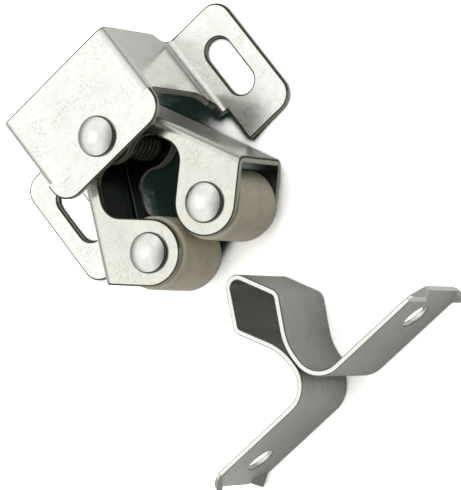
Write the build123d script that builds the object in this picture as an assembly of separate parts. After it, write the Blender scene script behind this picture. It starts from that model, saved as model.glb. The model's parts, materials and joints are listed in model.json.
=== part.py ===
from build123d import *
from math import acos, asin, atan2, cos, degrees, hypot, radians, sin, sqrt
import os

# Double roller catch with its spear strike, in millimetres.
# The origin is where the pivot axis meets the mounting face. +Z points away from that face,
# and -Y points out of the mouth, towards the strike. Both parts rest on Z = 0.

# Housing: one stamped hat section with a crown, two side walls and two screw ears
sheet = 1.0
housing_height = 19.4
ear_span = 44.5
crown_width = 22.3
crown_rear = 12.2
crown_front = 4.5
crown_bend = 0.4
crown_corner = 3.4
flange_bend = 1.2
flange_lap = 0.5
flange_front = 4.4
ear_rear = 10.2
ear_front = 10.3
ear_corner = 3.0
slot_length = 10.2
slot_width = 4.4
slot_edge = 5.3
slot_set_back = 0.5
wall_front = 0.2
wall_foot = 1.3
wall_flare = 3.4
wall_rear_cut = 3.2

# Pivot rivet: domed head on the crown, a collar that keeps the arms clear of the crown
pivot_shank = 3.2
pivot_collar = 5.4
pivot_collar_height = 1.9

# Rivet heads and clenched tails, alike on the pivot and on the roller pins
head_diameter = 6.2
head_height = 1.5
head_rim = 0.35
tail_diameter = 4.8
tail_height = 0.6

# Arms: two like stampings, one turned over on the other, each a channel with two cheeks
arm_depth = 14.0
arm_bend = 0.4
web_distance = 5.8
web_splay = 26.1
web_tip = 21.2
web_heel = 3.5
eye_radius = 4.1
land_width = 2.6
lug_radius = 5.05
eye_hollow = 3.0
foot_hollow = 3.2

# Rollers on riveted pins
roller_radius = 5.5
roller_gap = 0.4
roller_reach = 17.8
roller_edge = 0.6
pin_shank = 3.0

# Torsion spring round the pivot, with its two legs against the heels of the webs
wire = 1.1
spring_turns = 7
leg_reach = 3.0

# Strike: one bent strip, a spear head on a pinched neck between two screw legs.
# It stands beside the catch, a little off the line of the mouth.
strike_set_off = 1.6
strike_width = 15.4
strike_sheet = 0.85
strike_face = 49.5
strike_span = 44.5
spear_length = 22.8
shoulder_height = 13.9
shoulder_half = 4.7
neck_height = 7.0
neck_gap = 0.1
tip_bend = 1.95
shoulder_bend = 1.65
neck_bend = 8.5
leg_bend = 3.9
strike_hole = 4.4
strike_hole_spacing = 32.8

# Spurs: the corners of the strike's legs, folded to bite into the door
spur_side = 2.6
spur_fold = 60.0

# Clearances
press_clearance = 0.02
running_clearance = 0.05
face_clearance = 0.05
roller_end_clearance = 0.15
spring_clearance = 0.3
spring_end_clearance = 0.15

# Sizes that follow from the ones above
crown_half = crown_width / 2
ear_root = crown_half + flange_bend
crown_underside = housing_height - sheet
upper_cheek_top = crown_underside - pivot_collar_height - face_clearance
lower_cheek_top = upper_cheek_top - sheet - face_clearance
left_bottom = upper_cheek_top - arm_depth
right_bottom = lower_cheek_top - arm_depth
roller_offset = roller_radius + roller_gap / 2
roller_length = arm_depth - 2 * (sheet + roller_end_clearance)
splay = radians(web_splay)

# Cutting shapes run past what they cut
beyond = 2.0
cut_length = 2 * housing_height


def web_point(outward, forward):
    """A point of the right arm's plan, outward from the pivot to its web and forward along it."""
    return (
        outward * cos(splay) + forward * sin(splay),
        outward * sin(splay) - forward * cos(splay),
    )


def hat_section():
    """The bent band of crown, walls and flange bends, before its ends are cut."""
    inner = crown_half - sheet
    lapped = ear_root + flange_lap
    outline = Polyline(
        (-lapped, 0),
        (-lapped, sheet),
        (-crown_half, sheet),
        (-crown_half, housing_height),
        (crown_half, housing_height),
        (crown_half, sheet),
        (lapped, sheet),
        (lapped, 0),
        (inner, 0),
        (inner, crown_underside),
        (-inner, crown_underside),
        (-inner, 0),
        close=True,
    )
    section = make_face(outline)
    corners = {
        (crown_half, housing_height): crown_bend + sheet,
        (inner, crown_underside): crown_bend,
        (crown_half, sheet): flange_bend,
        (inner, 0): flange_bend + sheet,
    }
    for (x, z), radius in corners.items():
        for side in (-1, 1):
            corner = section.vertices().sort_by_distance((side * x, z, 0))[0]
            section = fillet(corner, radius)
    rear_plane = Plane.XZ.offset(-crown_rear)
    return extrude(rear_plane * section, crown_rear + flange_front)


def side_cut(*points):
    """A prism across the whole width, from an outline given as (y, z)."""
    outline = make_face(Polyline(*points, close=True))
    return extrude(Plane.YZ * outline, ear_root + beyond, both=True)


def front_notch():
    """The space ahead of the walls, which flare into the flange bends at their foot."""
    top = housing_height + beyond
    front = -flange_front - beyond
    outline = make_face(
        Polyline(
            (front, wall_foot),
            (-wall_front, wall_foot),
            (-wall_front, top),
            (front, top),
            close=True,
        )
    )
    corner = outline.vertices().sort_by_distance((-wall_front, wall_foot, 0))[0]
    outline = fillet(corner, wall_flare)
    return extrude(Plane.YZ * outline, ear_root + beyond, both=True)


def crown_lip():
    """The crown's free front, with its rounded corners."""
    length = crown_front - wall_front
    lip = Pos(0, -(crown_front + wall_front) / 2) * Rectangle(crown_width, length)
    lip = fillet(lip.vertices().group_by(Axis.Y)[0], crown_corner)
    return Pos(0, 0, crown_underside) * extrude(lip, sheet)


def ear(side):
    """One screw ear, with its slot along the housing."""
    tip = ear_span / 2
    plan = Pos(side * (ear_root + tip) / 2, (ear_rear - ear_front) / 2) * Rectangle(
        tip - ear_root, ear_rear + ear_front
    )
    outer_corners = plan.vertices().sort_by(Axis.X, reverse=side > 0)[:2]
    plan = fillet(outer_corners, ear_corner)
    slot = SlotOverall(slot_length, slot_width, rotation=90)
    plan -= Pos(side * (tip - slot_edge), slot_set_back) * slot
    return extrude(plan, sheet)


def housing():
    """The stamped housing, open in front, behind and below."""
    shape = hat_section() - front_notch()
    shape -= side_cut(
        (ear_rear, -beyond),
        (ear_rear, sheet),
        (crown_rear, wall_rear_cut),
        (crown_rear + beyond, wall_rear_cut),
        (crown_rear + beyond, -beyond),
    )
    shape += crown_lip()
    shape += [ear(side) for side in (-1, 1)]
    return shape - Cylinder(pivot_shank / 2 + press_clearance, cut_length)


def standing_cylinder(diameter, bottom, top):
    """A cylinder on the Z axis between two heights."""
    return Pos(0, 0, (bottom + top) / 2) * Cylinder(diameter / 2, top - bottom)


def domed_head(seat):
    """A rivet's domed head with a short upright rim, sitting at the height of its seat."""
    edge = head_diameter / 2
    section = make_face(
        [
            Line((0, 0), (edge, 0)),
            Line((edge, 0), (edge, head_rim)),
            TangentArc((0, head_height), (edge, head_rim), tangent=(1, 0)),
            Line((0, head_height), (0, 0)),
        ]
    )
    return Pos(0, 0, seat) * revolve(Plane.XZ * section, Axis.Z)


def clenched_tail(seat):
    """A rivet's flattened tail, hanging from the height of its seat."""
    tail = standing_cylinder(tail_diameter, seat - tail_height, seat)
    return chamfer(tail.edges().group_by(Axis.Z)[0], tail_height / 2)


def pivot_rivet():
    """The rivet that both arms turn on, through the crown and the four cheeks."""
    tail_seat = right_bottom - face_clearance
    rivet = domed_head(housing_height)
    rivet += standing_cylinder(pivot_shank, tail_seat, housing_height)
    rivet += standing_cylinder(pivot_collar, crown_underside - pivot_collar_height, crown_underside)
    return rivet + clenched_tail(tail_seat)


def cheek_outline():
    """The plan that both cheeks share: eye, land along the web, and foot with a round lug."""
    tip = web_point(web_distance, web_tip)
    away = (tip[0] - roller_offset, tip[1] + roller_reach)
    turn = atan2(away[1], away[0]) + asin(lug_radius / hypot(*away))
    lean = (cos(turn), sin(turn))
    reach = 2 * web_distance

    def foot_point(along, across):
        return (
            roller_offset + along * lean[0] - across * lean[1],
            -roller_reach + along * lean[1] + across * lean[0],
        )

    foot = make_face(
        Polyline(
            foot_point(0, -lug_radius),
            foot_point(reach, -lug_radius),
            foot_point(reach, lug_radius),
            foot_point(0, lug_radius),
            close=True,
        )
    )
    eye = make_face(
        Polyline(
            web_point(0, -web_heel),
            web_point(web_distance, -web_heel),
            web_point(web_distance, eye_radius),
            web_point(0, eye_radius),
            close=True,
        )
    )
    land = make_face(
        Polyline(
            web_point(web_distance - land_width, 0),
            web_point(web_distance, 0),
            web_point(web_distance, web_tip),
            web_point(web_distance - land_width, web_tip),
            close=True,
        )
    )
    outside = make_face(
        Polyline(
            web_point(web_distance, -cut_length),
            web_point(web_distance + cut_length, -cut_length),
            web_point(web_distance + cut_length, cut_length),
            web_point(web_distance, cut_length),
            close=True,
        )
    )
    ahead = make_face(
        Polyline(
            tip,
            foot_point(-cut_length, -lug_radius),
            foot_point(-cut_length, -cut_length),
            foot_point(cut_length, -cut_length),
            foot_point(cut_length, -lug_radius),
            close=True,
        )
    )
    plan = foot + eye + land + Circle(eye_radius)
    plan += Pos(roller_offset, -roller_reach) * Circle(lug_radius)
    plan -= outside
    plan -= ahead
    inner_edge = web_point(web_distance - land_width, eye_radius)
    plan = fillet(nearest_corner(plan, inner_edge), eye_hollow)
    slope = degrees(turn)
    across = (Vector(*inner_edge) - Vector(*foot_point(0, lug_radius))).rotate(Axis.Z, -slope)
    drop = across.Y / sin(radians(slope + 90 - web_splay))
    foot_corner = web_point(web_distance - land_width, eye_radius + drop)
    return fillet(nearest_corner(plan, foot_corner), foot_hollow)


def nearest_corner(plan, point):
    """The plan's vertex closest to a point."""
    return plan.vertices().sort_by_distance((point[0], point[1], 0))[0]


def channel():
    """A straight channel along the web, deep enough for both cheeks, open towards the middle."""
    section = make_face(
        Polyline(
            (-cut_length, 0),
            (web_distance, 0),
            (web_distance, arm_depth),
            (-cut_length, arm_depth),
            (-cut_length, arm_depth - sheet),
            (web_distance - sheet, arm_depth - sheet),
            (web_distance - sheet, sheet),
            (-cut_length, sheet),
            close=True,
        )
    )
    bends = {
        (web_distance, 0): arm_bend + sheet,
        (web_distance, arm_depth): arm_bend + sheet,
        (web_distance - sheet, sheet): arm_bend,
        (web_distance - sheet, arm_depth - sheet): arm_bend,
    }
    for (outward, height), radius in bends.items():
        corner = section.vertices().sort_by_distance((outward, height, 0))[0]
        section = fillet(corner, radius)
    straight = extrude(Plane.XZ * section, cut_length, both=True)
    return straight.rotate(Axis.Z, web_splay)


def arm_blank():
    """One arm as stamped, its lower cheek on Z = 0, lying as the right arm does."""
    arm = channel() & extrude(cheek_outline(), arm_depth)
    arm -= Cylinder(pivot_shank / 2 + running_clearance, cut_length)
    pin_hole = Cylinder(pin_shank / 2 + press_clearance, cut_length)
    return arm - Pos(roller_offset, -roller_reach) * pin_hole


def roller(side, bottom):
    """A plain roller with eased ends and a bore that runs on its pin."""
    middle = bottom + arm_depth / 2
    body = Cylinder(roller_radius, roller_length)
    body = fillet(body.edges().filter_by(GeomType.CIRCLE), roller_edge)
    body -= Cylinder(pin_shank / 2 + running_clearance, roller_length)
    return Pos(side * roller_offset, -roller_reach, middle) * body


def roller_pin(side, bottom):
    """The rivet that carries a roller between its arm's cheeks."""
    top = bottom + arm_depth
    pin = domed_head(top) + standing_cylinder(pin_shank, bottom, top) + clenched_tail(bottom)
    return Pos(side * roller_offset, -roller_reach, 0) * pin


def torsion_spring():
    """A close-wound coil round the pivot, its legs bearing outward on the webs' heels."""
    lowest = left_bottom + sheet + spring_end_clearance + wire / 2
    highest = lower_cheek_top - sheet - spring_end_clearance - wire / 2
    coil_radius = (pivot_shank + wire) / 2 + spring_clearance
    leg_end = Vector(*web_point(web_distance - sheet - wire / 2 - spring_clearance, -leg_reach))
    start = degrees(atan2(leg_end.Y, leg_end.X) - acos(coil_radius / leg_end.length))
    sweep_turns = spring_turns + (180 + 2 * start) / 360
    line = Helix((highest - lowest) / sweep_turns, highest - lowest, coil_radius)
    line = Pos(0, 0, lowest) * Rot(0, 0, 180 - start) * line
    section = Plane(origin=line @ 0, z_dir=line % 0) * Circle(wire / 2)
    spring = sweep(section, path=line, is_frenet=True)
    for side, height, end in ((-1, lowest, line @ 0), (1, highest, line @ 1)):
        tip = Vector(side * leg_end.X, leg_end.Y, height)
        leg = extrude(Plane(origin=end, z_dir=tip - end) * Circle(wire / 2), (tip - end).length)
        spring += leg + Pos(*end) * Sphere(wire / 2)
    return spring


def strip_section():
    """The strike's strip seen edge on, thickened to its door side."""
    neck = strike_sheet + neck_gap / 2
    leg_end = strike_span / 2
    right_half = [
        (shoulder_half, shoulder_height),
        (neck, neck_height),
        (neck, 0),
        (leg_end, 0),
    ]
    left_half = [(-x, y) for x, y in reversed(right_half)]
    bends = [leg_bend, neck_bend, shoulder_bend, tip_bend, shoulder_bend, neck_bend, leg_bend]
    line = FilletPolyline(*left_half, (0, spear_length), *right_half, radius=bends)
    return make_face(offset(line, amount=strike_sheet, side=Side.RIGHT, closed=True))


def spur(side, level):
    """One folded corner of a leg, which replaces the corner cut from the strip."""
    half_fold = spur_side / sqrt(2)
    triangle = make_face(Polyline((-half_fold, 0), (half_fold, 0), (0, half_fold), close=True))
    tooth = extrude(triangle, strike_sheet / 2, both=True)
    bend = Cylinder(strike_sheet / 2, 2 * half_fold - strike_sheet, rotation=(0, 90, 0))
    corner = Plane(
        origin=(
            side * (strike_span - spur_side) / 2,
            -strike_sheet / 2,
            strike_width / 2 + level * (strike_width - spur_side) / 2,
        ),
        x_dir=(level, 0, -side),
        z_dir=(0, -1, 0),
    )
    strip = Pos(0, 0, strike_width / 2) * Box(strike_span, cut_length, strike_width)
    return corner * (Rot(spur_fold, 0, 0) * tooth + bend) & strip


def strike():
    """The spear strike, standing on one edge of its strip."""
    shape = extrude(strip_section(), strike_width)
    across = shape.edges().filter_by(Axis.Y).group_by(Axis.X)
    shape = chamfer(across[0] + across[-1], spur_side)
    hole = Cylinder(strike_hole / 2, strike_span, rotation=(90, 0, 0))
    for side in (-1, 1):
        shape -= Pos(side * strike_hole_spacing / 2, 0, strike_width / 2) * hole
        shape += [spur(side, level) for level in (-1, 1)]
    return Pos(strike_set_off, -strike_face, 0) * shape


os.makedirs("parts", exist_ok=True)

right_arm = Pos(0, 0, right_bottom) * arm_blank()
left_arm = Pos(0, 0, left_bottom + arm_depth) * Rot(0, 180, 0) * arm_blank()

parts = {
    "housing": housing(),
    "pivot_rivet": pivot_rivet(),
    "arm_right": right_arm,
    "arm_left": left_arm,
    "torsion_spring": torsion_spring(),
    "roller_right": roller(1, right_bottom),
    "roller_left": roller(-1, left_bottom),
    "roller_pin_right": roller_pin(1, right_bottom),
    "roller_pin_left": roller_pin(-1, left_bottom),
    "strike": strike(),
}
for name, shape in parts.items():
    export_step(shape, f"parts/{name}.step")
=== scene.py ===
"""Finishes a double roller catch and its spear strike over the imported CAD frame."""

import json
from math import atan, cos, degrees, pi, radians, sin

import bmesh
import bpy
from mathutils import Matrix, Vector
from mathutils.bvhtree import BVHTree


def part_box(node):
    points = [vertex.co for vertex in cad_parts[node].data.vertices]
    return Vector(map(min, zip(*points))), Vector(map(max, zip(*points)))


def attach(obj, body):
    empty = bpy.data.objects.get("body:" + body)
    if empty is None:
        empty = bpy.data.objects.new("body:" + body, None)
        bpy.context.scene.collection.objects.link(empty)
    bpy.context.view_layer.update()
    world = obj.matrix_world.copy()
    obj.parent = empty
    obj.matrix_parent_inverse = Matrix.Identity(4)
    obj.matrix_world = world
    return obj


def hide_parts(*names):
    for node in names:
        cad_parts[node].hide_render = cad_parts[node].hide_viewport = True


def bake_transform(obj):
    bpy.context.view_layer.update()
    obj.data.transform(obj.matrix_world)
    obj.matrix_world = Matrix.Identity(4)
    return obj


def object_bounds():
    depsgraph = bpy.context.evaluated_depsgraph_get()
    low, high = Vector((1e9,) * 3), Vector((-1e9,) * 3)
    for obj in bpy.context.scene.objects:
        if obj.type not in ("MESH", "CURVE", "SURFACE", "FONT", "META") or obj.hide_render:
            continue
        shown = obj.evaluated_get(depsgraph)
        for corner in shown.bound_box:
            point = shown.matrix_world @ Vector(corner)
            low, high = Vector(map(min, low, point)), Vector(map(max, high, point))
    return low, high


bl_info = {
    "name": "Roller Catch Finisher",
    "version": (1, 0, 0),
    "blender": (4, 5, 0),
    "location": "View3D > Sidebar > Roller Catch",
    "description": "Dresses a stamped double roller catch, its rollers, rivets, spring and strike",
    "category": "Object",
}

MM = 0.001
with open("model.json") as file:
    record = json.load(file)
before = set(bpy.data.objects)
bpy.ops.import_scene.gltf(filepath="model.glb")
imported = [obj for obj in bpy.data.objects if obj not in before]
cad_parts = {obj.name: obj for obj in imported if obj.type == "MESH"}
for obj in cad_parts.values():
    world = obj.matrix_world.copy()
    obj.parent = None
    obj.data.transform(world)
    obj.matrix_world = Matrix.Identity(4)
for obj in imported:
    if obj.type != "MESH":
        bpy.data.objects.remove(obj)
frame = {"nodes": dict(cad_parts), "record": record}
CAD_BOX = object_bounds()
RECORD = frame["record"]
BODY_OF = {node: body for body, nodes in RECORD["behaviour"]["bodies"].items() for node in nodes}
JOINTS = {joint["name"]: joint for joint in RECORD["behaviour"]["joints"]}

# Housing: the crown, its free lip and where the side walls begin
SHEET = 1.0 * MM
CROWN_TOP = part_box("housing")[1].z
CROWN_UNDERSIDE = CROWN_TOP - SHEET
CROWN_HALF = 11.15 * MM
WALL_FRONT = -0.2 * MM
LIP_STEP = 0.5 * MM

# Arms and rollers: the arms' undersides and depth, and the middle of each roller
SIDES = ("right", "left")
ARM_BOTTOM = {side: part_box(f"arm_{side}")[0].z for side in SIDES}
ARM_DEPTH = 14.0 * MM
ROLLER_CENTRE = {side: Vector(JOINTS[f"{side}_roller_spin"]["pos_m"]) for side in SIDES}
ROLLER_RADIUS = 5.5 * MM
ROLLER_LENGTH = 11.7 * MM
ROLLER_EDGE = 0.6 * MM
ROLLER_BORE = 1.55 * MM
HUB_RADIUS = 2.5 * MM
RIM_RADIUS = 4.4 * MM
MOULD_DRAFT = 0.1 * MM

# Rivets: heads and clenched tails, alike on the pivot and on the roller pins
HEAD_RADIUS = 3.1 * MM
HEAD_HEIGHT = 1.5 * MM
HEAD_RIM = 0.2 * MM
HEAD_SHOULDER = 0.6 * MM
TAIL_RADIUS = 2.4 * MM
TAIL_HEIGHT = 0.6 * MM
TAIL_ROUND = 0.3 * MM
DIMPLE_FLOOR_RADIUS = 0.72 * MM
DIMPLE_MOUTH_RADIUS = 1.32 * MM
PIN_SHANK = 1.5 * MM
PIVOT_SHANK = 1.6 * MM
PIVOT_GAP = 0.05 * MM
COLLAR_RADIUS = 2.7 * MM
COLLAR_HEIGHT = 1.9 * MM

# Torsion spring: the middle of its wire, from the foot of the coil to its head, and how far round
# from square across the legs leave it
COIL_RADIUS = 2.45 * MM
COIL_FOOT = 4.15 * MM
COIL_HEAD = 13.7 * MM
COIL_MIDDLE = (COIL_FOOT + COIL_HEAD) / 2
COIL_TURNS = 7
COIL_START_DEGREES = 2.93
LEG_LENGTH = 4.31 * MM

# Strike: the middle of the strip, its pinched neck and where the folded corners begin
STRIP = 0.85 * MM
STRIKE_MIDDLE = (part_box("strike")[0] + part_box("strike")[1]) / 2
STRIKE_NECK = -45.0 * MM
SPUR_ACROSS = 19.3 * MM
SPUR_HEIGHT = 5.05 * MM

# How finely round shapes are cut, what counts as no distance, and which angles count as flat
# or as sharp
TURNING_STEPS = 96
HEAD_STEPS = 12
TAIL_STEPS = 6
ROLLER_EDGE_STEPS = 8
COIL_STEPS = 40
WIRE_STEPS = 20
MERGE_DISTANCE = 0.001 * MM
NEARLY = 0.01 * MM
FLAT_ANGLE = radians(1.5)
SHEET_ANGLE = radians(30)
CORNER_ANGLE = radians(35)
WIRE_ANGLE = radians(40)

# How much of a face's normal points one way for the face to count as turned that way
SIDEWAYS = 0.4
UPWARD = 0.5
FORWARD = -0.5
DOWNWARD = -0.3

# How much of a steep face's normal points up: from upright to the least steep
UPRIGHT = -0.02
LEAST_STEEP = 0.74

# The photograph's camera, worked out from the object's own corners
IMAGE_WIDTH = 461
FOCAL_PIXELS = 3500
CAMERA_PLACE = Vector((172.315, -186.081, 472.229)) * MM
CAMERA_RIGHT = Vector((0.68099, -0.57596, -0.45224))
CAMERA_DOWN = Vector((-0.65531, -0.75494, -0.02531))
SENSOR_WIDTH = 36.0
CLIP_START = 0.01

# The stage, in metres: the floor, the stretch of it under the mouth's edge, and the softbox
FLOOR_SIZE = 3.0
FLOOR_DROP = 0.02 * MM
FLOOR_GLARE = 2.8
MOUTH_EDGE = {"From Min": -22.5 * MM, "From Max": -17.0 * MM}
SHADOW_REACH = 30 * MM
SOFTBOX_TOWARDS = Vector((-0.34, 0.32, 0.88))
SOFTBOX_DISTANCE = 0.8
SOFTBOX_SIZE = 0.5
SOFTBOX_POWER = 0.15

# The unlit side of the studio, towards which the light tent darkens
DARK_SIDE = (0.62, -0.78, 0.0)


def linear(code):
    """An sRGB hex colour as linear RGB."""
    parts = [int(code[start : start + 2], 16) / 255 for start in (1, 3, 5)]
    return tuple(
        part / 12.92 if part <= 0.04045 else ((part + 0.055) / 1.055) ** 2.4 for part in parts
    )


def per_mm(size):
    """The texture scale at which one cell or wave is this many millimetres across."""
    return 1 / (size * MM)


# Settings that a user would change


class CatchSizes(bpy.types.PropertyGroup):
    sheet_edge_break: bpy.props.FloatProperty(
        name="Sheet edge break",
        description="How far the punch and tumbling have rounded the housing's and arms' edges",
        default=0.28 * MM,
        unit="LENGTH",
    )
    strip_edge_break: bpy.props.FloatProperty(
        name="Strip edge break",
        description="How far tumbling has rounded the strike's edges",
        default=0.15 * MM,
        unit="LENGTH",
    )
    tail_dimple: bpy.props.FloatProperty(
        name="Tail dimple",
        description="Depth of the dimple that the setting tool leaves in each rivet's tail",
        default=0.25 * MM,
        unit="LENGTH",
    )
    roller_recess: bpy.props.FloatProperty(
        name="Roller recess",
        description="Depth of the ring-shaped recess in each roller's end",
        default=0.8 * MM,
        unit="LENGTH",
    )
    wire: bpy.props.FloatProperty(
        name="Spring wire",
        description="Diameter of the torsion spring's wire",
        default=1.1 * MM,
        unit="LENGTH",
    )


class CatchColours(bpy.types.PropertyGroup):
    housing: bpy.props.FloatVectorProperty(
        name="Housing plating",
        description="Bright zinc on the housing",
        subtype="COLOR",
        default=linear("#F0F0ED"),
    )
    arm: bpy.props.FloatVectorProperty(
        name="Arm plating",
        description="Slightly greyer zinc on both arms",
        subtype="COLOR",
        default=linear("#DEDFD7"),
    )
    rivet: bpy.props.FloatVectorProperty(
        name="Rivet steel",
        description="Bright plated steel of the rivets",
        subtype="COLOR",
        default=linear("#F0F0EC"),
    )
    wire: bpy.props.FloatVectorProperty(
        name="Spring wire",
        description="Dark drawn wire of the spring",
        subtype="COLOR",
        default=linear("#55564F"),
    )
    nylon: bpy.props.FloatVectorProperty(
        name="Nylon",
        description="Grey moulded nylon of the rollers",
        subtype="COLOR",
        default=linear("#DCD3BC"),
    )
    strip: bpy.props.FloatVectorProperty(
        name="Strike strip",
        description="Satin rolled strip of the strike",
        subtype="COLOR",
        default=linear("#CDCDC8"),
    )


def user_settings():
    """The user's sizes and colours."""
    scene = bpy.context.scene
    return scene.catch_sizes, scene.catch_colours


# Materials. Each tone is laid over the one before it, from the plain finish to the worn edges.


def add_node(tree, kind, inputs=None, **settings):
    """Adds a node, sets it, and gives each input a value, a socket or a node's main output."""
    made = tree.nodes.new(kind)
    for name, value in settings.items():
        setattr(made, name, value)
    for key, value in (inputs or {}).items():
        named = [socket for socket in made.inputs if socket.enabled and socket.name == key]
        socket = named[0] if named else made.inputs[key]
        if isinstance(value, bpy.types.Node):
            value = next(output for output in value.outputs if output.enabled)
        if isinstance(value, bpy.types.NodeSocket):
            tree.links.new(value, socket)
        elif socket.type == "RGBA":
            socket.default_value = (*value, 1.0)
        else:
            socket.default_value = value
    return made


def new_material(name):
    """An empty material, its node tree and its object coordinates."""
    material = bpy.data.materials.new(name)
    material.use_nodes = True
    tree = material.node_tree
    tree.nodes.clear()
    place = add_node(tree, "ShaderNodeTexCoord").outputs["Object"]
    return material, tree, place


def shade(colour, factor):
    """A colour made darker or lighter by a factor."""
    return tuple(channel * factor for channel in colour)


def zinc_plating(name, colour):
    """Zinc plated in a barrel on stamped and tumbled sheet steel."""
    # To the eye: near white metal, cloudy and mottled, with dull sheared edges; painted shade
    # darkens the inward faces and the rounded edges.
    # The real grain is finer than 0.2 mm, and is drawn this coarse so that it shows. The sizes are
    # those of the clouds, the mottling, the patches of flecks, the flecks and the grain.
    material, tree, place = new_material(name)
    cloud, mottle, patch, fleck, grain = (
        add_node(
            tree,
            "ShaderNodeTexNoise",
            {"Vector": place, "Scale": per_mm(size), "Detail": detail, "Roughness": 0.6},
        )
        for size, detail in ((6.0, 3.0), (1.3, 4.0), (4.0, 2.0), (0.42, 4.0), (0.22, 3.0))
    )
    cut, shaded_edges, painted_inner = (
        add_node(tree, "ShaderNodeAttribute", attribute_name=mark).outputs["Fac"]
        for mark in ("cut", "shaded_edges", "painted_inner")
    )
    clouded = add_node(
        tree, "ShaderNodeMapRange", {"Value": cloud, "From Min": 0.4, "From Max": 0.7}
    )
    mottling = add_node(
        tree,
        "ShaderNodeMapRange",
        {"Value": mottle, "From Min": 0.48, "From Max": 0.68, "To Max": 0.8},
    )
    patches = add_node(
        tree,
        "ShaderNodeMapRange",
        {"Value": patch, "From Min": 0.45, "From Max": 0.6, "To Min": 0.1, "To Max": 1.0},
    )
    flecks = add_node(
        tree,
        "ShaderNodeMapRange",
        {"Value": fleck, "From Min": 0.5, "From Max": 0.7, "To Max": 0.6},
    )
    specks = add_node(tree, "ShaderNodeMath", {0: flecks, 1: patches}, operation="MULTIPLY")
    warm = tuple(channel * part for channel, part in zip(colour, (0.93, 0.91, 0.84)))
    tone = colour
    for factor, over in (
        (clouded, shade(colour, 0.92)),
        (mottling, warm),
        (specks, shade(warm, 0.6)),
        # Painted shade on the faces turned inwards and on the lower cheeks' tops
        (painted_inner, linear("#5B6360")),
        (cut, linear("#C2C2B6")),
        # Painted shade along the rounded edges, fainter where they face front or down
        (shaded_edges, linear("#46463C")),
    ):
        blend = {"Factor": factor, "A": tone, "B": over}
        tone = add_node(tree, "ShaderNodeMix", blend, data_type="RGBA")
    dull = add_node(
        tree,
        "ShaderNodeMapRange",
        {"Value": mottle, "From Min": 0.35, "From Max": 0.7, "To Min": 0.18, "To Max": 0.27},
    )
    duller = add_node(tree, "ShaderNodeMapRange", {"Value": cut, "To Max": 0.2})
    roughness = add_node(tree, "ShaderNodeMath", {0: dull, 1: duller}, operation="ADD")
    relief = {"Height": grain, "Strength": 0.5, "Distance": 0.02 * MM}
    bump = add_node(tree, "ShaderNodeBump", relief)
    finish = {"Base Color": tone, "Metallic": 1.0, "Roughness": roughness, "Normal": bump}
    shader = add_node(tree, "ShaderNodeBsdfPrincipled", finish)
    add_node(tree, "ShaderNodeOutputMaterial", {"Surface": shader})
    return material


def plated_rivet_steel(colour):
    """Cold headed rivet steel under bright zinc."""
    # To the eye: smoother and brighter than the sheet, with painted shade on its upright and sharply
    # sloping faces, a dark ring at the foot of the head.
    material, tree, place = new_material("bright_plated_rivet_steel")
    cloud, grain = (
        add_node(
            tree,
            "ShaderNodeTexNoise",
            {"Vector": place, "Scale": per_mm(size), "Detail": detail, "Roughness": rough},
        )
        for size, detail, rough in ((1.2, 3.0, 0.55), (0.2, 2.0, 0.5))
    )
    steep = add_node(tree, "ShaderNodeAttribute", attribute_name="steep").outputs["Fac"]
    clouded = add_node(
        tree, "ShaderNodeMapRange", {"Value": cloud, "From Min": 0.4, "From Max": 0.7}
    )
    tone = colour
    # Painted shade on the upright and sharply sloping faces
    for factor, over in ((clouded, shade(colour, 0.9)), (steep, linear("#6E6E66"))):
        blend = {"Factor": factor, "A": tone, "B": over}
        tone = add_node(tree, "ShaderNodeMix", blend, data_type="RGBA")
    roughness = add_node(
        tree,
        "ShaderNodeMapRange",
        {"Value": cloud, "From Min": 0.3, "From Max": 0.7, "To Min": 0.13, "To Max": 0.22},
    )
    relief = {"Height": grain, "Strength": 0.15, "Distance": 0.015 * MM}
    bump = add_node(tree, "ShaderNodeBump", relief)
    finish = {"Base Color": tone, "Metallic": 1.0, "Roughness": roughness, "Normal": bump}
    shader = add_node(tree, "ShaderNodeBsdfPrincipled", finish)
    add_node(tree, "ShaderNodeOutputMaterial", {"Surface": shader})
    return material


def oiled_spring_wire(colour):
    """Drawn spring wire, left unplated under a thin film of oil."""
    # To the eye: dark metal with a soft gloss and darker stains.
    material, tree, place = new_material("oiled_spring_wire")
    stain = add_node(
        tree,
        "ShaderNodeTexNoise",
        {"Vector": place, "Scale": per_mm(1.0), "Detail": 3.0, "Roughness": 0.6},
    )
    stained = add_node(
        tree, "ShaderNodeMapRange", {"Value": stain, "From Min": 0.35, "From Max": 0.65}
    )
    blend = {"Factor": stained, "A": colour, "B": shade(colour, 0.6)}
    tone = add_node(tree, "ShaderNodeMix", blend, data_type="RGBA")
    roughness = add_node(
        tree,
        "ShaderNodeMapRange",
        {"Value": stain, "From Min": 0.3, "From Max": 0.7, "To Min": 0.25, "To Max": 0.4},
    )
    finish = {"Base Color": tone, "Metallic": 1.0, "Roughness": roughness}
    shader = add_node(tree, "ShaderNodeBsdfPrincipled", finish)
    add_node(tree, "ShaderNodeOutputMaterial", {"Surface": shader})
    return material


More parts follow.
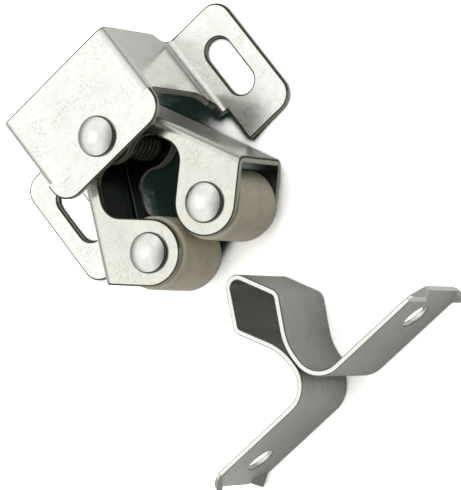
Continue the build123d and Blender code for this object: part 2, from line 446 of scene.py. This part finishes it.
def moulded_nylon(colour):
    """Injection moulded nylon, rubbed by rolling."""
    # To the eye: a matt, faintly mottled grey brown with a fine grain.
    # The mould's grain is finer than 0.3 mm, and is drawn this coarse so that it shows.
    material, tree, place = new_material("moulded_grey_nylon")
    mottle, grain = (
        add_node(
            tree,
            "ShaderNodeTexNoise",
            {"Vector": place, "Scale": per_mm(size), "Detail": detail, "Roughness": rough},
        )
        for size, detail, rough in ((2.2, 4.0, 0.6), (0.3, 2.0, 0.5))
    )
    mottled = add_node(
        tree, "ShaderNodeMapRange", {"Value": mottle, "From Min": 0.35, "From Max": 0.7}
    )
    blend = {"Factor": mottled, "A": colour, "B": shade(colour, 0.84)}
    tone = add_node(tree, "ShaderNodeMix", blend, data_type="RGBA")
    roughness = add_node(
        tree,
        "ShaderNodeMapRange",
        {"Value": mottle, "From Min": 0.3, "From Max": 0.7, "To Min": 0.48, "To Max": 0.62},
    )
    relief = {"Height": grain, "Strength": 0.3, "Distance": 0.03 * MM}
    bump = add_node(tree, "ShaderNodeBump", relief)
    finish = {"Base Color": tone, "Roughness": roughness, "IOR": 1.53, "Normal": bump}
    shader = add_node(tree, "ShaderNodeBsdfPrincipled", finish)
    add_node(tree, "ShaderNodeOutputMaterial", {"Surface": shader})
    return material


def satin_plated_strip(colour):
    """Cold rolled strip, sheared, bent and plated."""
    # To the eye: satin grey faces with fine lines along the strip, a painted highlight on the
    # sheared edges, painted light on the inward faces and painted shade on the rounded edges.
    # The rolling lines are finer than 0.3 mm, and are drawn this coarse so that they show.
    material, tree, place = new_material("satin_plated_strip")
    stretched = add_node(
        tree, "ShaderNodeMapping", {"Vector": place, "Scale": (0.12, 0.12, 1.0)}
    )
    lines, cloud = (
        add_node(
            tree,
            "ShaderNodeTexNoise",
            {"Vector": start, "Scale": per_mm(size), "Detail": 3.0, "Roughness": 0.6},
        )
        for start, size in ((stretched, 0.3), (place, 6.0))
    )
    cut, shaded_edges, painted_inner = (
        add_node(tree, "ShaderNodeAttribute", attribute_name=mark).outputs["Fac"]
        for mark in ("cut", "shaded_edges", "painted_inner")
    )
    lined = add_node(
        tree, "ShaderNodeMapRange", {"Value": lines, "From Min": 0.35, "From Max": 0.65}
    )
    clouded = add_node(
        tree,
        "ShaderNodeMapRange",
        {"Value": cloud, "From Min": 0.4, "From Max": 0.7, "To Max": 0.6},
    )
    tone = colour
    for factor, over in (
        (lined, shade(colour, 0.88)),
        (clouded, shade(colour, 0.8)),
        # Painted light on the faces turned inwards, away from the legs
        (painted_inner, linear("#F2F2EE")),
        # Painted highlight on the sheared edges
        (cut, linear("#EFEFEA")),
        # Painted shade along the rounded edges
        (shaded_edges, linear("#6C6D68")),
    ):
        blend = {"Factor": factor, "A": tone, "B": over}
        tone = add_node(tree, "ShaderNodeMix", blend, data_type="RGBA")
    roughness = add_node(
        tree,
        "ShaderNodeMapRange",
        {"Value": lines, "From Min": 0.3, "From Max": 0.7, "To Min": 0.32, "To Max": 0.44},
    )
    relief = {"Height": lines, "Strength": 0.2, "Distance": 0.015 * MM}
    bump = add_node(tree, "ShaderNodeBump", relief)
    finish = {"Base Color": tone, "Metallic": 1.0, "Roughness": roughness, "Normal": bump}
    shader = add_node(tree, "ShaderNodeBsdfPrincipled", finish)
    add_node(tree, "ShaderNodeOutputMaterial", {"Surface": shader})
    return material


def pale_floor():
    """Plain matt paper under soft light."""
    # To the eye: white, darkening to a green black where the object shuts out the light.
    # The object itself is lit by plain pale paper. The openness at which the floor is darkest, and
    # that at which it is white, are higher behind the mouth's edge than before it.
    material, tree, place = new_material("pale_floor")
    seen = add_node(tree, "ShaderNodeLightPath").outputs["Is Camera Ray"]
    reach = {"Distance": SHADOW_REACH}
    openness = add_node(tree, "ShaderNodeAmbientOcclusion", reach, samples=32).outputs["AO"]
    along = add_node(tree, "ShaderNodeSeparateXYZ", {"Vector": place}).outputs["Y"]
    closed, open_air = (
        add_node(
            tree,
            "ShaderNodeMapRange",
            {"Value": along, **MOUTH_EDGE, "To Min": before, "To Max": behind},
        )
        for before, behind in ((0.08, 0.31), (0.2, 0.4))
    )
    lit = add_node(
        tree, "ShaderNodeMapRange", {"Value": openness, "From Min": closed, "From Max": open_air}
    )
    bounce = add_node(
        tree,
        "ShaderNodeMapRange",
        {"Value": openness, "From Min": 0.1, "From Max": 0.4, "To Min": 0.55, "To Max": 1.0},
    )
    glare = {"Factor": lit, "A": linear("#3F5550"), "B": shade(linear("#FFFFFF"), FLOOR_GLARE)}
    white = add_node(tree, "ShaderNodeMix", glare, data_type="RGBA")
    pale = {"Factor": bounce, "A": linear("#000000"), "B": linear("#F0F0EE")}
    plain = add_node(tree, "ShaderNodeMix", pale, data_type="RGBA")
    choice = {"Factor": seen, "A": plain, "B": white}
    paper = add_node(tree, "ShaderNodeMix", choice, data_type="RGBA")
    shader = add_node(tree, "ShaderNodeBsdfDiffuse", {"Color": paper})
    add_node(tree, "ShaderNodeOutputMaterial", {"Surface": shader})
    return material


# Mesh helpers


def new_piece(name, mesh, material, node):
    """Makes the object of a finished mesh, which stands for this CAD node."""
    data = bpy.data.meshes.new(name)
    mesh.to_mesh(data)
    mesh.free()
    data.materials.append(material)
    piece = bpy.data.objects.new(name, data)
    bpy.context.scene.collection.objects.link(piece)
    flats = piece.modifiers.new("flat_faces", "WEIGHTED_NORMAL")
    flats.mode = "FACE_AREA"
    flats.weight = 100
    flats.keep_sharp = True
    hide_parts(node)
    return piece


def finish_piece(name, mesh, material, node):
    """Makes the object of a finished mesh, which rides with the CAD node that it stands for."""
    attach(new_piece(name, mesh, material, node), BODY_OF[node])


def smooth_shading(mesh, sharp_angle):
    """Smooth faces, with the edges past this angle kept sharp."""
    for face in mesh.faces:
        face.smooth = True
    for edge in mesh.edges:
        edge.smooth = edge.calc_face_angle(pi) < sharp_angle


def mark_cut_faces(mesh, thickness):
    """Marks the faces that the shears or the punch cut: those with no second face behind them."""
    layer = mesh.faces.layers.float.new("cut")
    solid = BVHTree.FromBMesh(mesh)
    for face in mesh.faces:
        start = face.calc_center_median() - face.normal * NEARLY
        behind = solid.ray_cast(start, -face.normal, 1.5 * thickness)[0]
        face[layer] = 1.0 if behind is None else 0.0


def mark_painted_inner_faces(mesh, middle):
    """Marks the faces for painted shade on the stampings and painted light on the strike: those
    turned to the middle plane and the lower cheeks' tops, but no strike leg.
    """
    # How much painted shade or painted light each face takes, by material
    layer = mesh.faces.layers.float.new("painted_inner")
    for face in mesh.faces:
        centre = face.calc_center_median()
        across = centre.x - middle
        inward = face.normal.x * across < 0 and abs(face.normal.x) > SIDEWAYS
        below = abs(centre.x) < CROWN_HALF and centre.z < ARM_DEPTH / 2
        hidden = inward or (below and face.normal.z > UPWARD)
        face[layer] = 1.0 if hidden and centre.y > STRIKE_NECK else 0.0


def beside_lip(point):
    """Whether a point lies on the small step between the crown's lip and the walls' bends."""
    return abs(point.y - WALL_FRONT) < NEARLY and point.z > CROWN_UNDERSIDE - LIP_STEP


def in_spur(point):
    """Whether a point belongs to a folded corner of the strike's legs."""
    offset = point - STRIKE_MIDDLE
    return abs(offset.x) > SPUR_ACROSS and abs(offset.z) > SPUR_HEIGHT


def softened(node, thickness, middle, edge_break, kept_sharp):
    """A merged copy of a stamped CAD node, its edges rounded except where kept sharp, the rounds
    marked for painted shade.
    """
    mesh = bmesh.new()
    mesh.from_mesh(frame["nodes"][node].data)
    bmesh.ops.remove_doubles(mesh, verts=mesh.verts, dist=MERGE_DISTANCE)
    bmesh.ops.recalc_face_normals(mesh, faces=mesh.faces)
    mark_cut_faces(mesh, thickness)
    mark_painted_inner_faces(mesh, middle)
    bmesh.ops.dissolve_limit(
        mesh,
        angle_limit=FLAT_ANGLE,
        use_dissolve_boundaries=False,
        verts=mesh.verts,
        edges=mesh.edges,
        delimit=set(),
    )
    layer = mesh.faces.layers.float.new("shaded_edges")
    corners = [
        edge
        for edge in mesh.edges
        if edge.calc_face_angle(0) > CORNER_ANGLE
        and not all(kept_sharp(vert.co) for vert in edge.verts)
    ]
    shaded_edges = bmesh.ops.bevel(
        mesh,
        geom=corners,
        offset=edge_break,
        offset_type="OFFSET",
        affect="EDGES",
        segments=2,
        profile=0.5,
        clamp_overlap=False,
        material=-1,
    )
    for face in shaded_edges["faces"]:
        # Painted shade on the rounds, weaker on those facing front or down
        less_shaded = face.normal.y < FORWARD or face.normal.z < DOWNWARD
        face[layer] = 0.3 if less_shaded else 1.0
    smooth_shading(mesh, SHEET_ANGLE)
    return mesh


def turned(profile, centre, closed=False):
    """A profile of (radius, height) spun round an upright axis, its upright and sharply sloping
    faces marked for painted shade.
    """
    mesh = bmesh.new()
    points = [mesh.verts.new((radius, 0, height)) for radius, height in profile]
    line = [mesh.edges.new(pair) for pair in zip(points, points[1:])]
    if closed:
        line.append(mesh.edges.new((points[-1], points[0])))
    bmesh.ops.spin(
        mesh,
        geom=points + line,
        cent=(0, 0, 0),
        axis=(0, 0, 1),
        dvec=(0, 0, 0),
        angle=2 * pi,
        steps=TURNING_STEPS,
        use_merge=True,
        use_duplicate=False,
    )
    bmesh.ops.remove_doubles(mesh, verts=mesh.verts, dist=MERGE_DISTANCE)
    bmesh.ops.recalc_face_normals(mesh, faces=mesh.faces)
    bmesh.ops.translate(mesh, verts=mesh.verts, vec=centre)
    # Upright and sharply sloping faces, where the rivet steel paints shade
    layer = mesh.faces.layers.float.new("steep")
    for face in mesh.faces:
        face[layer] = 1.0 if UPRIGHT < face.normal.z < LEAST_STEEP else 0.0
    smooth_shading(mesh, CORNER_ANGLE)
    return mesh


def arc(centre, radius, start, end, steps):
    """Points of an arc in the (radius, height) plane, its angles in degrees."""
    turns = [radians(start + (end - start) * step / steps) for step in range(steps + 1)]
    return [(centre[0] + radius * cos(turn), centre[1] + radius * sin(turn)) for turn in turns]


def rivet_profile(seat, foot, shank, collar, dimple):
    """Half a set rivet from tail to head: dimpled tail, shank, collar if any, and dome."""
    tail_bottom = foot - TAIL_HEIGHT
    dimple_floor = tail_bottom + dimple
    corner = (TAIL_RADIUS - TAIL_ROUND, tail_bottom + TAIL_ROUND)
    shoulder_at = HEAD_RADIUS - HEAD_SHOULDER
    shoulder_centre = (shoulder_at, seat + HEAD_RIM)
    lean = 2 * atan((HEAD_HEIGHT - HEAD_RIM - HEAD_SHOULDER) / shoulder_at)
    shoulder_end = 90 - degrees(lean)
    dome_radius = shoulder_at / sin(lean) + HEAD_SHOULDER
    dome_centre = (0, seat + HEAD_HEIGHT - dome_radius)
    return [
        (0, dimple_floor),
        (DIMPLE_FLOOR_RADIUS, dimple_floor),
        (DIMPLE_MOUTH_RADIUS, tail_bottom),
        *arc(corner, TAIL_ROUND, -90, 0, TAIL_STEPS),
        (TAIL_RADIUS, foot),
        (shank, foot),
        *collar,
        (shank, seat),
        (HEAD_RADIUS, seat),
        *arc(shoulder_centre, HEAD_SHOULDER, 0, shoulder_end, HEAD_STEPS),
        *arc(dome_centre, dome_radius, shoulder_end, 90, HEAD_STEPS)[1:],
    ]


def half_spring(wire_radius):
    """The lower half of a close-wound coil with a straight leg off its foot, from one section."""
    mesh = bmesh.new()
    first = radians(180 - COIL_START_DEGREES)
    outward = Vector((cos(first), sin(first), 0))
    circle = bmesh.ops.create_circle(
        mesh, cap_ends=False, segments=WIRE_STEPS, radius=wire_radius
    )
    section = circle["verts"]
    along = Vector((-outward.y, outward.x, 0))
    stand = Matrix((outward, Vector((0, 0, 1)), along)).transposed().to_4x4()
    place = Matrix.Translation(outward * COIL_RADIUS + Vector((0, 0, COIL_FOOT)))
    bmesh.ops.transform(mesh, matrix=place @ stand, verts=section)
    rim = mesh.edges[:]
    turns = (COIL_TURNS + (180 + 2 * COIL_START_DEGREES) / 360) / 2
    steps = round(turns * COIL_STEPS)
    wound = bmesh.ops.spin(
        mesh,
        geom=section + rim,
        cent=(0, 0, 0),
        axis=(0, 0, 1),
        dvec=(0, 0, (COIL_MIDDLE - COIL_FOOT) / steps),
        angle=2 * pi * turns,
        steps=steps,
        use_merge=False,
        use_duplicate=False,
    )
    far_rim = [item for item in wound["geom_last"] if isinstance(item, bmesh.types.BMEdge)]
    bmesh.ops.edgeloop_fill(mesh, edges=far_rim)
    leg = bmesh.ops.extrude_edge_only(mesh, edges=rim)["geom"]
    tips = [item for item in leg if isinstance(item, bmesh.types.BMVert)]
    bmesh.ops.translate(mesh, verts=tips, vec=-along * LEG_LENGTH)
    ring = [item for item in leg if isinstance(item, bmesh.types.BMEdge)]
    ring = [edge for edge in ring if edge.verts[0] in tips and edge.verts[1] in tips]
    bmesh.ops.edgeloop_fill(mesh, edges=ring)
    bmesh.ops.bevel(
        mesh,
        geom=ring,
        offset=wire_radius / 4,
        offset_type="OFFSET",
        affect="EDGES",
        segments=2,
        profile=0.5,
        material=-1,
    )
    bmesh.ops.recalc_face_normals(mesh, faces=mesh.faces)
    smooth_shading(mesh, WIRE_ANGLE)
    return mesh


# Operators, one for each group of like pieces and one for the stage


class CATCH_OT_stampings(bpy.types.Operator):
    """Breaks the edges of the stamped housing and arms and plates them"""

    bl_idname = "catch.stampings"
    bl_label = "Stampings"

    def execute(self, context):
        sizes, colours = user_settings()
        bright = zinc_plating("bright_zinc_plated_sheet", colours.housing)
        greyer = zinc_plating("grey_zinc_plated_sheet", colours.arm)
        for node, plating in (("housing", bright), ("arm_right", greyer), ("arm_left", greyer)):
            mesh = softened(node, SHEET, 0, sizes.sheet_edge_break, beside_lip)
            finish_piece(f"{node}_stamping", mesh, plating, node)
        return {"FINISHED"}


class CATCH_OT_strike(bpy.types.Operator):
    """Breaks the edges of the strike's bent strip and gives it its satin finish"""

    bl_idname = "catch.strike"
    bl_label = "Strike"

    def execute(self, context):
        sizes, colours = user_settings()
        satin = satin_plated_strip(colours.strip)
        mesh = softened("strike", STRIP, STRIKE_MIDDLE.x, sizes.strip_edge_break, in_spur)
        finish_piece("strike_strip", mesh, satin, "strike")
        return {"FINISHED"}


class CATCH_OT_rivets(bpy.types.Operator):
    """Sets the pivot rivet and both roller pins, plated bright"""

    bl_idname = "catch.rivets"
    bl_label = "Rivets"

    def execute(self, context):
        sizes, colours = user_settings()
        steel = plated_rivet_steel(colours.rivet)
        collar_foot = CROWN_UNDERSIDE - COLLAR_HEIGHT
        collar = [
            (PIVOT_SHANK, collar_foot),
            (COLLAR_RADIUS, collar_foot),
            (COLLAR_RADIUS, CROWN_UNDERSIDE),
            (PIVOT_SHANK, CROWN_UNDERSIDE),
        ]
        foot = ARM_BOTTOM["right"] - PIVOT_GAP
        profile = rivet_profile(CROWN_TOP, foot, PIVOT_SHANK, collar, sizes.tail_dimple)
        mesh = turned(profile, (0, 0, 0))
        finish_piece("pivot_rivet_set", mesh, steel, "pivot_rivet")
        for side, foot in ARM_BOTTOM.items():
            profile = rivet_profile(foot + ARM_DEPTH, foot, PIN_SHANK, [], sizes.tail_dimple)
            mesh = turned(profile, ROLLER_CENTRE[side] * Vector((1, 1, 0)))
            node = f"roller_pin_{side}"
            finish_piece(f"{node}_set", mesh, steel, node)
        return {"FINISHED"}


class CATCH_OT_rollers(bpy.types.Operator):
    """Moulds both nylon rollers"""

    bl_idname = "catch.rollers"
    bl_label = "Rollers"

    def execute(self, context):
        sizes, colours = user_settings()
        nylon = moulded_nylon(colours.nylon)
        depth = sizes.roller_recess
        edge = (ROLLER_RADIUS - ROLLER_EDGE, -ROLLER_EDGE)
        half_profile = [
            (ROLLER_BORE, -depth),
            (ROLLER_BORE + MOULD_DRAFT, 0),
            (HUB_RADIUS, 0),
            (HUB_RADIUS + MOULD_DRAFT, -depth),
            (RIM_RADIUS - MOULD_DRAFT, -depth),
            (RIM_RADIUS, 0),
            *arc(edge, ROLLER_EDGE, 90, 0, ROLLER_EDGE_STEPS),
        ]
        top = [(radius, ROLLER_LENGTH / 2 + height) for radius, height in half_profile]
        bottom = [(radius, -height) for radius, height in reversed(top)]
        for side, centre in ROLLER_CENTRE.items():
            mesh = turned(top + bottom, centre, closed=True)
            finish_piece(f"roller_{side}_moulding", mesh, nylon, f"roller_{side}")
        return {"FINISHED"}


class CATCH_OT_spring(bpy.types.Operator):
    """Winds the torsion spring round the pivot in two halves, each with a straight leg"""

    bl_idname = "catch.spring"
    bl_label = "Torsion spring"

    def execute(self, context):
        sizes, colours = user_settings()
        wire = oiled_spring_wire(colours.wire)
        middle = Vector((0, 0, COIL_MIDDLE))
        for side, turn, upward in (("left", 0, -1), ("right", pi, 1)):
            mesh = half_spring(sizes.wire / 2)
            turned_over = Matrix.Rotation(turn, 3, "Y")
            bmesh.ops.rotate(mesh, verts=mesh.verts, cent=middle, matrix=turned_over)
            name = f"torsion_spring_{side}_half"
            piece = new_piece(name, mesh, wire, "torsion_spring")
            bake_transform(piece)
        return {"FINISHED"}


class CATCH_OT_stage(bpy.types.Operator):
    """Lays the pale floor, hangs the soft light and places the camera"""

    bl_idname = "catch.stage"
    bl_label = "Stage"

    def execute(self, context):
        floor_under_object()
        light_tent()
        overhead_softbox()
        photograph_camera()
        return {"FINISHED"}


def floor_under_object():
    """A wide floor just under the object."""
    mesh = bmesh.new()
    bmesh.ops.create_grid(mesh, x_segments=1, y_segments=1, size=FLOOR_SIZE)
    data = bpy.data.meshes.new("floor")
    mesh.to_mesh(data)
    mesh.free()
    floor = bpy.data.objects.new("floor", data)
    bpy.context.scene.collection.objects.link(floor)
    floor.location.z = CAD_BOX[0].z - FLOOR_DROP
    data.materials.append(pale_floor())


def light_tent():
    """A soft grey-white tent, brighter overhead, that the camera sees as white."""
    world = bpy.data.worlds.new("light_tent")
    bpy.context.scene.world = world
    world.use_nodes = True
    tree = world.node_tree
    tree.nodes.clear()
    direction = add_node(tree, "ShaderNodeTexCoord").outputs["Generated"]
    height = add_node(tree, "ShaderNodeSeparateXYZ", {"Vector": direction}).outputs["Z"]
    turned_away = add_node(
        tree,
        "ShaderNodeVectorMath",
        {0: direction, 1: DARK_SIDE},
        operation="DOT_PRODUCT",
    ).outputs["Value"]
    level = add_node(
        tree,
        "ShaderNodeMapRange",
        {"Value": height, "From Min": 0.05, "From Max": 0.5, "To Min": 0.15, "To Max": 1.0},
    )
    darkest = add_node(
        tree,
        "ShaderNodeMapRange",
        {"Value": height, "From Min": 0.15, "From Max": 0.35, "To Min": 1.0, "To Max": 0.12},
    )
    dimmed = add_node(
        tree,
        "ShaderNodeMapRange",
        {"Value": turned_away, "From Max": 0.7, "To Min": 1.0, "To Max": darkest},
    )
    strength = add_node(tree, "ShaderNodeMath", {0: level, 1: dimmed}, operation="MULTIPLY")
    soft = {"Color": (1, 1, 0.985), "Strength": strength}
    tent = add_node(tree, "ShaderNodeBackground", soft)
    white = add_node(tree, "ShaderNodeBackground", {"Color": (1, 1, 1), "Strength": 1.0})
    seen = add_node(tree, "ShaderNodeLightPath").outputs["Is Camera Ray"]
    mixed = add_node(tree, "ShaderNodeMixShader", {"Fac": seen, 1: tent, 2: white})
    add_node(tree, "ShaderNodeOutputWorld", {"Surface": mixed})


def overhead_softbox():
    """One large softbox above and behind the housing, towards its closed side."""
    lamp = bpy.data.lights.new("softbox", "AREA")
    lamp.shape = "SQUARE"
    lamp.size = SOFTBOX_SIZE
    lamp.energy = SOFTBOX_POWER
    box = bpy.data.objects.new("softbox", lamp)
    place = SOFTBOX_TOWARDS.normalized() * SOFTBOX_DISTANCE
    aim = place.to_track_quat("Z", "Y").to_matrix().to_4x4()
    box.matrix_world = Matrix.Translation(place) @ aim
    bpy.context.scene.collection.objects.link(box)


def photograph_camera():
    """The camera at the photograph's viewing angle, rolled as it was held."""
    lens = bpy.data.cameras.new("camera")
    lens.sensor_fit = "HORIZONTAL"
    lens.sensor_width = SENSOR_WIDTH
    lens.lens = FOCAL_PIXELS / IMAGE_WIDTH * SENSOR_WIDTH
    lens.clip_start = CLIP_START
    camera = bpy.data.objects.new("camera", lens)
    right = CAMERA_RIGHT.normalized()
    back = right.cross(-CAMERA_DOWN).normalized()
    upward = back.cross(right)
    turn = Matrix((right, upward, back)).transposed().to_4x4()
    camera.matrix_world = Matrix.Translation(CAMERA_PLACE) @ turn
    bpy.context.scene.collection.objects.link(camera)
    bpy.context.scene.camera = camera


class CATCH_PT_sidebar(bpy.types.Panel):
    """Sizes, colours and the operators that make the catch's pieces"""

    bl_idname = "CATCH_PT_sidebar"
    bl_label = "Roller Catch"
    bl_space_type = "VIEW_3D"
    bl_region_type = "UI"
    bl_category = "Roller Catch"

    def draw(self, context):
        for group in user_settings():
            for name in group.__annotations__:
                self.layout.prop(group, name)
        for operator in OPERATORS:
            self.layout.operator(operator.bl_idname)


GROUPS = (CatchSizes, CatchColours)
OPERATORS = (
    CATCH_OT_stampings,
    CATCH_OT_strike,
    CATCH_OT_rivets,
    CATCH_OT_rollers,
    CATCH_OT_spring,
    CATCH_OT_stage,
)


def register():
    for group in (*GROUPS, *OPERATORS, CATCH_PT_sidebar):
        bpy.utils.register_class(group)
    bpy.types.Scene.catch_sizes = bpy.props.PointerProperty(type=CatchSizes)
    bpy.types.Scene.catch_colours = bpy.props.PointerProperty(type=CatchColours)


def unregister():
    del bpy.types.Scene.catch_colours
    del bpy.types.Scene.catch_sizes
    for group in reversed((*GROUPS, *OPERATORS, CATCH_PT_sidebar)):
        bpy.utils.unregister_class(group)


def main():
    """Makes every piece in order."""
    register()
    bpy.context.scene.view_settings.view_transform = "Standard"
    bpy.ops.catch.stampings()
    bpy.ops.catch.strike()
    bpy.ops.catch.rivets()
    bpy.ops.catch.rollers()
    bpy.ops.catch.spring()
    bpy.ops.catch.stage()


if __name__ == "__main__":
    main()
